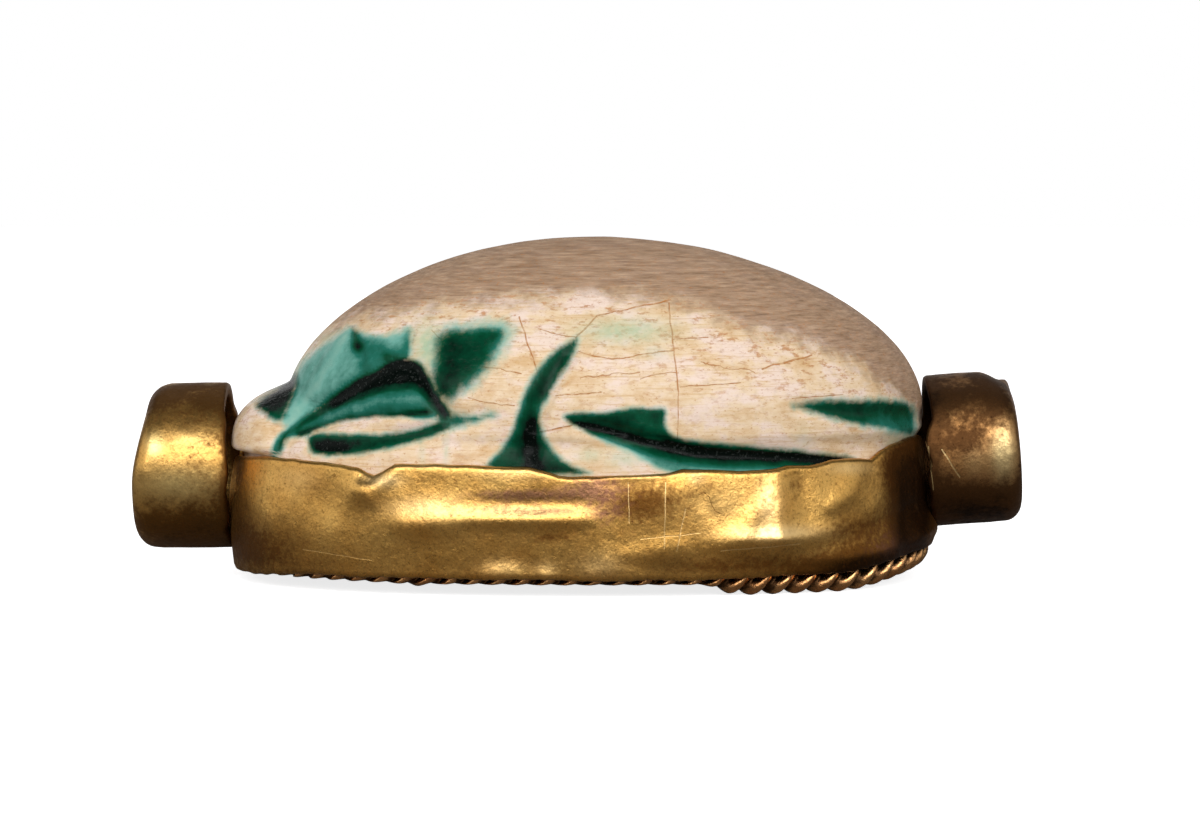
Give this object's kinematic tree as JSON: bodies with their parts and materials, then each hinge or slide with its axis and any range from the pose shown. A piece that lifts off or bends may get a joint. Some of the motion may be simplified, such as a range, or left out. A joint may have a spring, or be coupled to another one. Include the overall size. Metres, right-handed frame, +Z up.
{
  "type": "scarab seal",
  "caption": "Stone beetle seal with green glaze, in a hammered gold band on a twisted wire foot, with a gold collar at each end of its bore.",
  "frame": {"origin": "under the middle of the seal, on the surface it stands on", "axes": "+Z up through the beetle's back, +X from its head to its tail, +Y to the side away from the viewer"},
  "size_m": [0.0222, 0.0124, 0.0085],
  "materials": {
    "glazed_stone": "glossy worn glaze, cream with green pools, matte tan where worn",
    "band_gold": "hammered old gold, satin, brown in the hollows",
    "wire_gold": "dark reddish gold, polished on the high spots",
    "head_collar_gold": "old gold, satin",
    "tail_collar_gold": "old gold with brown and purple tarnish"
  },
  "bodies": {
    "root": {"scarab_stone": "glazed_stone", "gold_band": "band_gold", "twisted_wire_foot": "wire_gold", "collar_head_end": "head_collar_gold", "collar_tail_end": "tail_collar_gold"}
  },
  "joints": []
}
